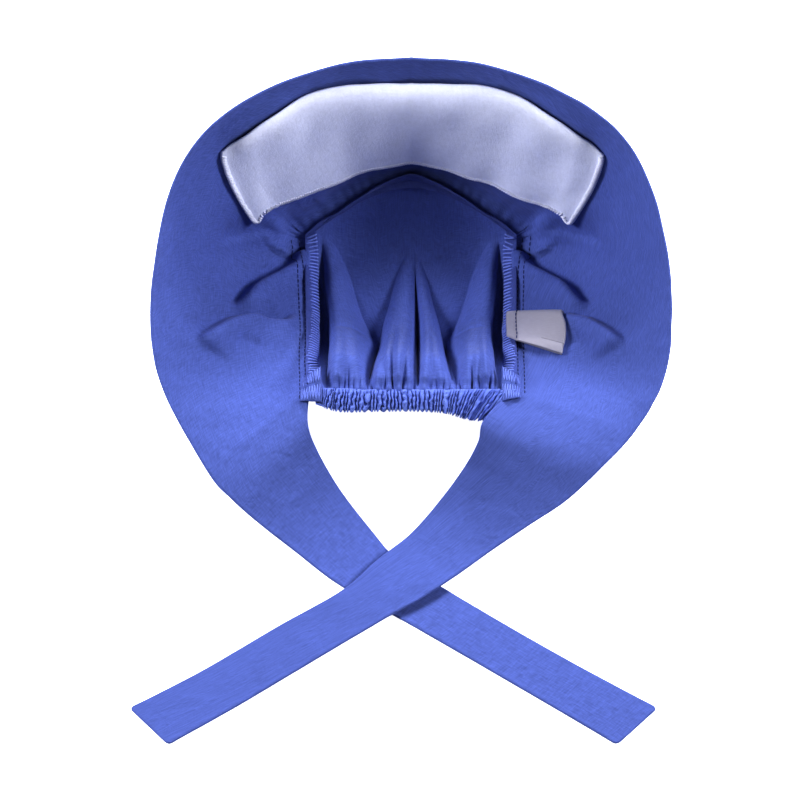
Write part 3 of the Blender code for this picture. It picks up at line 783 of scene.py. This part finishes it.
def make_sweatband(finish):
    """The terry strip, thick and round at its edges."""
    share, drop = np.meshgrid(
        border_lines(0.30, 300) / 0.15 - 1,
        border_lines(0.065, 58) / 0.065,
        indexing="ij",
    )
    return wall("sweatband_terry", sweatband_surface(share, drop), SWEATBAND_CLOTH, SWEATBAND_ROUND, finish)


def sweatband_points(share, drop):
    """Points and inward normals of the sweatband at these places, each read on its own small grid."""
    step = 0.004 * np.array([-1, 0, 1])
    share = share + step[:, None, None] + np.zeros((3, 3, 1))
    drop = drop + step[None, :, None] + np.zeros((3, 3, 1))
    grid = sweatband_surface(share, drop)
    normal = unit(np.cross(grid[1, 2] - grid[1, 0], grid[2, 1] - grid[0, 1]))
    return grid[1, 1], normal


def make_sweatband_edge(finish):
    """Overlock stitches round the lower edge and both ends of the sweatband."""
    down, run = np.linspace(0.02, 0.985, 60), np.linspace(-0.99, 0.99, 320)
    lines = []
    for margin, rise in ((0.0, 0.0), (0.019, 0.045)):
        share = np.concatenate([np.full(60, margin - 1), run * (1 - margin), np.full(60, 1 - margin)])
        drop = np.concatenate([down, np.ones(320), down[::-1]]) * (1 - rise)
        lines.append(sweatband_points(share, drop))
    (edge, normal), (inner, _) = lines
    cloth = (SWEATBAND_CLOTH, SWEATBAND_ROUND)
    thread = (BORDER_WIDTH, BORDER_RADIUS, BORDER_PITCH, BORDER_SLANT)
    rows = overlock_rows(edge, inner - edge, normal, cloth, *thread, 41)
    return tubes("sweatband_overlock", rows, BORDER_RADIUS, 6, finish)


def strip_surface(seam, inset):
    """The seam allowance along the crown's edge.

    seam runs from the left nape corner (-2) round the forehead (0) to the right one (2), and
    inset in metres from the seam to the free edge. The strip stands off the crown and leans
    away from it at that edge. Its sewn edge, where inset is negative, lies on the band at
    the sides and stands up as a flap at the forehead.
    """
    front = ease((1.00 - np.abs(seam)) / 0.34)
    laid = crown_edge(np.abs(seam), np.maximum(inset, 0)) + np.maximum(-inset, 0)[..., None] * (1, 0, 0.3)
    seat = laid + (crown_edge(np.abs(seam), inset) - laid) * front[..., None]
    seat[..., 0] *= np.where(seam < 0, -1, 1)
    tilt = np.where(inset > 0, 0.30 + 0.25 * front, 1.1 * front)
    lean = ALLOWANCE_LEAN * np.abs(inset) / ALLOWANCE_WIDTH * tilt
    soft = 0.00025 * ripple(seam * 0.08, inset, 0.018, 51)
    return seat - grid_normals(seat) * (ALLOWANCE_CLEAR + lean + soft)[..., None]


def strip_borders(seam):
    """Widths of the strip on both sides of the seam.

    The sewn one grows to a flap at the forehead, and the free one is wider at the corners
    by the nape.
    """
    corner = ease((np.abs(seam) - 1.86) / 0.05)
    free = ALLOWANCE_WIDTH * (1 + 0.05 * ripple(seam, 0, 0.09, 52) + 0.35 * corner)
    return 0.0018 + 0.0028 * ease((0.95 - np.abs(seam)) / 0.18), free


def make_strip(finish):
    """The strip itself, one wall of cloth."""
    seam = np.linspace(-1.995, 1.995, 900)
    sewn, free = strip_borders(seam)
    inset = border_lines(free + sewn, 10) - sewn[:, None]
    seam = np.repeat(seam[:, None], inset.shape[1], axis=1)
    return wall("allowance_strip", strip_surface(seam, inset), ALLOWANCE_CLOTH, CLOTH_ROUND, finish)


def make_strip_overlock(finish):
    """Overlock stitches over the strip's raw edge, up to its needle line, along both side seams."""
    seam = np.linspace(-1.97, 1.97, 900)[:, None]
    free = strip_borders(seam)[1]
    inset = free + (-0.0030, -0.0015, 0)
    grid = strip_surface(np.repeat(seam, 3, axis=1), inset)
    normal = -grid_normals(grid)[:, 2]
    cloth = (ALLOWANCE_CLOTH, CLOTH_ROUND)
    edge, inward = grid[:, 2], grid[:, 0] - grid[:, 2]
    rows = []
    for side in (-1, 1):
        part = np.abs(seam[:, 0] - side * 1.5) < 0.46
        thread = (OVERLOCK_WIDTH, OVERLOCK_RADIUS, OVERLOCK_PITCH, side * OVERLOCK_SLANT)
        rows.append(overlock_rows(edge[part], inward[part], normal[part], cloth, *thread, 53 + side))
    return tubes("strip_overlock", np.concatenate(rows), OVERLOCK_RADIUS, 5, finish)


def make_seam_stitches(surface, place, across, finish):
    """Two rows of running stitches beside each side seam."""
    normal = -grid_normals(surface)
    lift = surface + normal * BAND_CLOTH / 2
    rows = []
    near, far = SEAM_STITCHES_AWAY
    for side, end, away in ((-1, NAPE, near), (1, NAPE, near), (-1, NAPE + 0.1, far), (1, NAPE + 0.1, far)):
        along = side * np.linspace(SEAM_STITCHES_START, end, 500)[::side]
        rib = np.linalg.norm(np.subtract(*side_edges(np.abs(along), 1)), axis=-1)
        line = np.stack([along, 1 - away / rib], axis=-1)
        way = unit(on_grid(normal, place, across, line))
        rows.append(stitch_rows(on_grid(lift, place, across, line), way))
    return tubes("seam_stitches", np.concatenate(rows), STITCH_RADIUS, 5, finish)


def make_corner_tab(name, side, surface, place, across, finish, thread):
    """The folded corner at one nape end of the seam, and its two rows of zigzag.

    It is a small crumpled patch between two straight edges, one on the band and one on the
    crown, bowed up between them as a sine.
    """
    u, v = np.meshgrid(np.linspace(0, 1, 34), np.linspace(0, 1, 40), indexing="ij")
    top_band, low_band = on_grid(surface, place, across, np.multiply(TAB_ON_BAND, (side, 1)))
    top_crown, low_crown = np.multiply(TAB_ON_CROWN, (side, 1, 1))
    near = top_band + (low_band - top_band) * u[..., None]
    far = top_crown + (low_crown - top_crown) * u[..., None]
    flat = near + (far - near) * v[..., None]
    stand = 0.0012 + 0.0022 * np.sin(math.pi * v) + 0.0006 * ripple(u * 0.018, v * 0.016, 0.009, 61 + side)
    middle = flat + TAB_FACES * stand[..., None]
    patch = wall(name, middle, TAB_CLOTH, TAB_ROUND, finish)
    rows = []
    for first, last in ((0.06, 0.40), (0.50, 0.94)):
        ticks = np.linspace(0.06, 0.94, 15)
        line = np.stack([np.tile((first, last), 8)[:15], ticks], axis=-1)
        spots = line[:-1, None] + (line[1:, None] - line[:-1, None]) * np.linspace(0, 1, 7)[None, :, None]
        rows.append(middle[(spots[..., 0] * 33).astype(int), (spots[..., 1] * 39).astype(int)])
    rows = np.concatenate(rows) + np.multiply(TAB_FACES, TAB_CLOTH / 2 + 0.0001)
    return patch, tubes(name + "_stitches", rows, ZIGZAG_RADIUS, 5, thread)


def make_label(surface, place, across, finish, thread):
    """The folded satin label: sewn down on the strip, lying out over the band, doubled back.

    Its path is a straight lower layer from the seam to the fold, a half circle, and an upper
    layer that opens from the lower one as a sine and sags a little across its width.
    """
    lines = np.linspace(*LABEL_FOLD, 40)
    seam = smooth(columns(SHELL_ROWS)[:, 2:3], np.linspace(*LABEL_ROOT, 40))[:, 0]
    skew = np.linspace(-1, 1, 40)
    shares = np.linspace(0, 1, 26)[1:, None]
    lift = ALLOWANCE_CLEAR + (ALLOWANCE_CLOTH + LABEL_CLOTH) / 2 + 2 * SEWN_GAP
    lean = ALLOWANCE_LEAN * LABEL_TAIL / ALLOWANCE_WIDTH
    tail_seam = smooth(columns(SHELL_ROWS)[:, 2:3], np.linspace(*LABEL_END, 40))[:, 0]
    tail = crown_edge(tail_seam, LABEL_TAIL) + (0, 0, 1.45 * lift + lean)
    root = crown_edge(seam) + (0.0014, 0, 1.65 * lift)
    spot = np.stack([lines, LABEL_REACH + 0.010 * skew + 0.022 * np.clip(-skew - 0.55, 0, 1) / 0.45], axis=-1)
    far = on_grid(surface, place, across, spot)
    out_of_band = unit(on_grid(-grid_normals(surface), place, across, spot))
    far = far + out_of_band * (BAND_CLOTH + LABEL_CLOTH + 3 * SEWN_GAP) / 2
    out = unit(far - root)
    up = unit(np.cross(out, np.gradient(far, axis=0)))
    up = up * np.sign(up[:, 2:])
    down_seam = tail + (root - tail) * np.linspace(0, 1, 8)[:-1, None, None]
    lower = np.concatenate([down_seam, root[None], root + (far - root) * shares[..., None]])
    pinched = LABEL_CLOTH + SEWN_GAP
    bow = np.concatenate([np.zeros(8), shares[:, 0]])
    opening = pinched + (LABEL_LOOP - pinched) * np.sin(bow * math.pi / 2) ** 1.2
    sag = LABEL_SAG * np.sin(bow * math.pi)[:, None] * (1 - skew**2) - LABEL_DROOP * bow[:, None] * skew**2
    upper = lower + up * (opening[:, None] + sag)[..., None]
    turn = np.linspace(-math.pi / 2, math.pi / 2, 12)[1:-1, None, None]
    gap = (upper[-1] - lower[-1]) / 2
    radius = np.linalg.norm(gap, axis=-1, keepdims=True)
    fold = (upper[-1] + lower[-1]) / 2 + out * radius * np.cos(turn) + gap * np.sin(turn)
    path = np.concatenate([lower, fold, upper[::-1]])
    line = root + up * (pinched + LABEL_CLOTH / 2 + STITCH_RADIUS)
    sewn = tubes("label_stitches", stitch_rows(line, up), STITCH_RADIUS, 5, thread)
    return wall("label_satin", path, LABEL_CLOTH, 0.0003, finish), sewn


# Finishes


def add(tree, kind, settings=(), **inputs):
    """A shader node.

    An input is named with _ for spaces, or i0, i1 by number, and takes a socket or a value.
    """
    node = tree.nodes.new("ShaderNode" + kind)
    for key, value in dict(settings).items():
        setattr(node, key, value)
    for key, value in inputs.items():
        by_number = key[0] == "i" and key[1:].isdigit()
        socket = node.inputs[int(key[1:])] if by_number else node.inputs[key.replace("_", " ")]
        if isinstance(value, bpy.types.NodeSocket):
            tree.links.new(value, socket)
        else:
            socket.default_value = value
    return node


def maths(tree, operation, *values):
    """The result of a Math node."""
    inputs = {f"i{k}": value for k, value in enumerate(values)}
    return add(tree, "Math", {"operation": operation}, **inputs).outputs[0]


def noise(tree, place, scale, detail, rough=0.5, warp=0.0):
    """A cloudy noise between 0 and 1, with about scale waves in each unit of its place."""
    settings = {"Scale": scale, "Detail": detail, "Roughness": rough, "Distortion": warp}
    return add(tree, "TexNoise", Vector=place, **settings).outputs["Fac"]


def effect(name, takes, gives):
    """An empty shader group with these inputs (name: (kind, default)) and outputs (name: kind)."""
    group = bpy.data.node_groups.new(name, "ShaderNodeTree")
    for title, (kind, default) in takes.items():
        socket = group.interface.new_socket(name=title, in_out="INPUT", socket_type="NodeSocket" + kind)
        if default is not None:
            socket.default_value = default
    for title, kind in gives.items():
        group.interface.new_socket(name=title, in_out="OUTPUT", socket_type="NodeSocket" + kind)
    return group, group.nodes.new("NodeGroupInput"), group.nodes.new("NodeGroupOutput")


def plain_weave_effect():
    """Plain weave from cloth lengths in metres.

    Each thread is a |sin| ridge. A soft chequer of the two sines' product decides which of
    the two threads lies on top. Noise stretched along each thread makes it slubby.
    """
    takes = {"Cloth": ("Vector", None), "Thread Pitch": ("Float", 0.0005), "Slub": ("Float", 0.1)}
    tree, given, out = effect("plain_weave", takes, {"Height": "Float", "Shade": "Float"})
    split = add(tree, "SeparateXYZ", Vector=given.outputs["Cloth"])
    turns = []
    for k in (0, 1):
        scaled = maths(tree, "DIVIDE", split.outputs[k], given.outputs["Thread Pitch"])
        turns.append(maths(tree, "SINE", maths(tree, "MULTIPLY", scaled, math.pi)))
    over = maths(tree, "MULTIPLY_ADD", maths(tree, "MULTIPLY", *turns), 2.0, 0.5)
    over = maths(tree, "MINIMUM", maths(tree, "MAXIMUM", over, 0.0), 1.0)
    warp, weft = (maths(tree, "ABSOLUTE", t) for t in turns)
    difference = maths(tree, "SUBTRACT", warp, weft)
    height = maths(tree, "MULTIPLY_ADD", difference, over, weft)
    slubs = 0.0
    for stretch in ((170.0, 1500.0, 1.0), (1500.0, 170.0, 1.0)):
        long = add(tree, "VectorMath", {"operation": "MULTIPLY"}, i0=given.outputs["Cloth"], i1=stretch)
        slubs = maths(tree, "ADD", slubs, noise(tree, long.outputs[0], 1.0, 2.0, 0.6))
    slubs = maths(tree, "SUBTRACT", slubs, 1.0)
    shade = maths(tree, "MULTIPLY_ADD", slubs, given.outputs["Slub"], 1.0)
    # Painted shade: where a thread lies low under the other, its colour is a little darker.
    shade = maths(tree, "MULTIPLY_ADD", maths(tree, "SUBTRACT", height, 0.6), 0.04, shade)
    tree.links.new(maths(tree, "MULTIPLY_ADD", slubs, 0.8, height), out.inputs["Height"])
    tree.links.new(shade, out.inputs["Shade"])
    return tree


def washed_cloth_effect():
    """Colour and creasing of handled cloth: noises for clouds of light and dark and for crumples."""
    takes = {"Place": ("Vector", None), "Dye": ("Color", None)}
    takes.update({"Shade": ("Float", 1.0), "Clouds": ("Float", 0.1)})
    gives = {"Color": "Color", "Crumple": "Float", "Roughness": "Float"}
    tree, given, out = effect("washed_cloth", takes, gives)
    spot = given.outputs["Place"]
    cloud = noise(tree, spot, 38.0, 3.0, 0.55)
    light = maths(tree, "MULTIPLY", noise(tree, spot, 240.0, 2.0, 0.6), 0.5)
    light = maths(tree, "SUBTRACT", maths(tree, "ADD", cloud, light), 0.75)
    light = maths(tree, "MULTIPLY_ADD", light, given.outputs["Clouds"], given.outputs["Shade"])
    tint = add(tree, "VectorMath", {"operation": "SCALE"}, i0=given.outputs["Dye"], Scale=light)
    tree.links.new(tint.outputs[0], out.inputs["Color"])
    tree.links.new(noise(tree, spot, 75.0, 3.0, 0.5, 0.6), out.inputs["Crumple"])
    rough = maths(tree, "MULTIPLY_ADD", cloud, 0.12, 0.78)
    tree.links.new(rough, out.inputs["Roughness"])
    return tree


def begin(name, sheen, specular=0.25):
    """A new material with its shader, cloth lengths and place."""
    made = bpy.data.materials.new(name)
    made.use_nodes = True
    tree = made.node_tree
    shader = tree.nodes["Principled BSDF"]
    shader.inputs["Sheen Weight"].default_value = sheen
    shader.inputs["Sheen Roughness"].default_value = 0.45
    shader.inputs["Specular IOR Level"].default_value = specular
    cloth = add(tree, "UVMap", {"uv_map": "cloth"}).outputs[0]
    place = add(tree, "TexCoord").outputs["Object"]
    return made, tree, shader, cloth, place


def washed(tree, effects, place, dye, shade, clouds):
    """The washed cloth's group in this dye."""
    inputs = {"Place": place, "Dye": (*dye, 1), "Shade": shade, "Clouds": clouds}
    return add(tree, "Group", {"node_tree": effects[1]}, **inputs)


def join(tree, shader, color, rough, bump):
    """The links from a finish's colour, roughness and bump to its shader."""
    for socket, title in ((color, "Base Color"), (rough, "Roughness"), (bump.outputs[0], "Normal")):
        tree.links.new(socket, shader.inputs[title])


def blue_cotton(name, effects, dye, slub, clouds, crumple):
    """Royal blue plain-weave cotton."""
    made, tree, shader, cloth, place = begin(name, 0.12)
    weave = add(tree, "Group", {"node_tree": effects[0]}, Cloth=cloth, Thread_Pitch=WEAVE_PITCH, Slub=slub)
    wash = washed(tree, effects, place, dye, weave.outputs["Shade"], clouds)
    soft = add(tree, "Bump", Strength=1.0, Distance=crumple, Height=wash.outputs["Crumple"])
    threads = weave.outputs["Height"]
    thread = add(tree, "Bump", Strength=0.35, Distance=0.00010, Height=threads, Normal=soft.outputs[0])
    join(tree, shader, wash.outputs["Color"], wash.outputs["Roughness"], thread)
    return made


def spun_thread(name, effects, dye):
    """Sewing thread, whose fine plies are a noise on its place."""
    made, tree, shader, _, place = begin(name, 0.2)
    plies = noise(tree, place, 2600.0, 1.0)
    shade = maths(tree, "MULTIPLY_ADD", plies, 0.5, 0.75)
    wash = washed(tree, effects, place, dye, shade, 0.25)
    bump = add(tree, "Bump", Strength=0.5, Distance=0.0001, Height=plies)
    join(tree, shader, wash.outputs["Color"], wash.outputs["Roughness"], bump)
    return made


def white_terry(name, effects):
    """Fine white terry: short pile as two noises, with faint ribs across the strip."""
    made, tree, shader, cloth, place = begin(name, 0.35, 0.1)
    split = add(tree, "SeparateXYZ", Vector=cloth)
    rib = maths(tree, "SINE", maths(tree, "MULTIPLY", split.outputs[0], 2 * math.pi / TERRY_RIB_PITCH))
    pile = noise(tree, place, 1150.0, 3.0, 0.7)
    tuft = noise(tree, place, 330.0, 2.0, 0.6)
    height = maths(tree, "ADD", pile, maths(tree, "MULTIPLY", tuft, 0.8))
    height = maths(tree, "MULTIPLY_ADD", rib, 0.03, height)
    # Painted shade: the pile is darker where it stands low.
    shade = maths(tree, "MULTIPLY_ADD", height, 0.16, 0.86)
    # A dim lavender dye on white terry: painted blue bounce light and shade.
    wash = washed(tree, effects, place, (0.73, 0.755, 0.91), shade, 0.10)
    bump = add(tree, "Bump", Strength=0.5, Distance=0.0004, Height=height)
    join(tree, shader, wash.outputs["Color"], wash.outputs["Roughness"], bump)
    return made


def white_satin(name, effects):
    """Blank label satin: noise stretched into long floats along the label, and a soft gloss."""
    made, tree, shader, cloth, place = begin(name, 0.1, 0.5)
    floats = add(tree, "VectorMath", {"operation": "MULTIPLY"}, i0=cloth, i1=(350.0, 4200.0, 1.0))
    lines = noise(tree, floats.outputs[0], 1.0, 2.0)
    shade = maths(tree, "MULTIPLY_ADD", lines, 0.22, 0.86)
    # A grey lavender dye on white satin: painted shade and blue bounce light.
    wash = washed(tree, effects, place, (0.36, 0.35, 0.42), shade, 0.12)
    bump = add(tree, "Bump", Strength=0.35, Distance=0.00008, Height=lines)
    rough = maths(tree, "MULTIPLY_ADD", lines, 0.25, 0.30)
    join(tree, shader, wash.outputs["Color"], rough, bump)
    return made


# The cap, put together from its pieces

effects = (plain_weave_effect(), washed_cloth_effect())
DYE = (0.119, 0.163, 0.435)
band_cotton = blue_cotton("band_cotton", effects, DYE, 0.55, 0.07, 0.0009)
crown_cotton = blue_cotton("crown_cotton", effects, DYE, 0.50, 0.08, 0.0008)
# The casing is the same blue cotton dyed lighter: painted light, so its ridges read brighter lit than the
# lamps make them.
casing_cotton_painted_light = blue_cotton("casing_cotton_painted_light", effects, (0.195, 0.262, 0.63), 0.30, 0.16, 0.0004)
# The corner patches are the same cotton dyed a little darker: painted shade, so they don't read brighter lit
# than the strip beside them.
tab_cotton_painted_shade = blue_cotton("tab_cotton_painted_shade", effects, (0.110, 0.150, 0.400), 0.45, 0.16, 0.0003)
# The seam allowance is the same cotton dyed darker: painted shade in the gaps between its overlock threads.
strip_cotton_painted_shade = blue_cotton("strip_cotton_painted_shade", effects, (0.088, 0.118, 0.34), 0.35, 0.16, 0.0003)
blue_thread = spun_thread("blue_thread", effects, (0.230, 0.295, 0.68))
# Near-black thread: the seam and label stitches are coloured as the shadows in their stitch holes, painted
# shade.
shadow_dark_thread = spun_thread("shadow_dark_thread", effects, (0.030, 0.042, 0.150))
white_thread = spun_thread("white_thread", effects, (0.80, 0.81, 0.93))

band, *on_band = make_band(band_cotton)
crown = make_crown(crown_cotton)
casing = make_casing(casing_cotton_painted_light)
sweatband = make_sweatband(white_terry("terry", effects))
sweatband_edge = make_sweatband_edge(white_thread)
strip = make_strip(strip_cotton_painted_shade)
strip_edge = make_strip_overlock(blue_thread)
stitches = make_seam_stitches(*on_band, shadow_dark_thread)
left_tab = make_corner_tab("left_corner_tab", -1, *on_band, tab_cotton_painted_shade, blue_thread)
right_tab = make_corner_tab("right_corner_tab", 1, *on_band, tab_cotton_painted_shade, blue_thread)
label, label_stitches = make_label(*on_band, white_satin("satin", effects), shadow_dark_thread)

pieces = (
    # piece, node, and its cut: width, length, area, how it is held, what it lies on, what goes with it
    (band, "band", 0.150, 0.960, 0.064, "laid", ("floor", "crown_cloth"), (stitches,)),
    (crown, "crown", 0.145, 0.155, 0.0210, "gathered", ("floor",), ()),
    (casing, "nape_casing", 0.0125, 0.190, 0.00237, "gathered", ("crown_cloth",), ()),
    (sweatband, "sweatband", 0.069, 0.240, 0.0140, "laid", ("band_cloth",), (sweatband_edge,)),
    (strip, "seam_allowance", 0.010, 0.430, 0.0038, "laid", ("crown_cloth",), (strip_edge,)),
    (label, "label_loop", 0.0205, 0.075, 0.00153, "folded", ("band_cloth", "allowance_strip"),
     (label_stitches,)),
)
for piece, node, width, length, area, held, on, trim in pieces:
    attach(piece, "root")
    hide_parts(node)
    for part in trim:
        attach(part, "root")
for patch, zigzag in (left_tab, right_tab):
    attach(patch, "root")
    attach(zigzag, "root")

# Floor, light and camera

FLOOR_REACH = 3
FLOOR_UP = -0.0003  # just below the crown, which rests on it
floor_mesh = bpy.data.meshes.new("floor")
corners = [(x * FLOOR_REACH, y * FLOOR_REACH, FLOOR_UP) for x, y in ((-1, -1), (1, -1), (1, 1), (-1, 1))]
floor_mesh.from_pydata(corners, [], [(0, 1, 2, 3)])
floor = placed("floor", floor_mesh)
paper = bpy.data.materials.new("paper")
paper.use_nodes = True
paper_inputs = paper.node_tree.nodes["Principled BSDF"].inputs
paper_inputs["Base Color"].default_value = (0.93, 0.93, 0.94, 1)
paper_inputs["Roughness"].default_value = 0.9
paper_inputs["Emission Color"].default_value = (1, 1, 1, 1)
seen = add(paper.node_tree, "LightPath").outputs["Is Camera Ray"]
paper.node_tree.links.new(seen, paper_inputs["Emission Strength"])
floor_mesh.materials.append(paper)

LAMPS = (
    # name, direction in degrees from +X and above the floor, distance, width, brightness
    ("back", 80, 40, 1.1, 0.36, 1.00),
    ("left", 180, 36, 1.1, 0.36, 1.14),
    ("right", 0, 36, 1.1, 0.36, 1.10),
    ("front", -90, 27, 1.3, 0.60, 0.085),
)
LIT_PLACE = (0, -0.08, 0.03)
for name, turn, height, distance, width, brightness in LAMPS:
    turn, height = math.radians(turn), math.radians(height)
    way = Vector((math.cos(turn) * math.cos(height), math.sin(turn) * math.cos(height), math.sin(height)))
    light = bpy.data.lights.new(name, "AREA")
    light.shape = "DISK"
    light.size = width
    light.energy = brightness * (math.pi * distance) ** 2
    lamp = placed(name, light)
    lamp.location = Vector(LIT_PLACE) + way * distance
    lamp.rotation_euler = way.to_track_quat("Z", "Y").to_euler()

world = bpy.data.worlds.new("studio")
world.use_nodes = True
world.node_tree.nodes["Background"].inputs["Color"].default_value = (1, 1, 1, 1)
world.node_tree.nodes["Background"].inputs["Strength"].default_value = 0.04
bpy.context.scene.world = world
bpy.context.scene.view_settings.view_transform = "Standard"
bpy.context.scene.view_settings.gamma = 0.68  # the contrast of the photograph

CAMERA_TILT = math.radians(60)
CAMERA_AWAY = 1.3
lens = bpy.data.cameras.new("camera")
lens.sensor_width = 36
lens.lens = 117
camera = placed("camera", lens)
# It looks at a point of the rim's plane, 90 mm from where that meets the floor
aim = Vector((-0.00575, 0.09 * math.sin(CAMERA_TILT) - RIM_START, 0.045))
forward = Vector((0, math.cos(CAMERA_TILT), -math.sin(CAMERA_TILT)))
camera.location = aim - forward * CAMERA_AWAY
camera.rotation_euler = forward.to_track_quat("-Z", "Y").to_euler()
bpy.context.scene.camera = camera
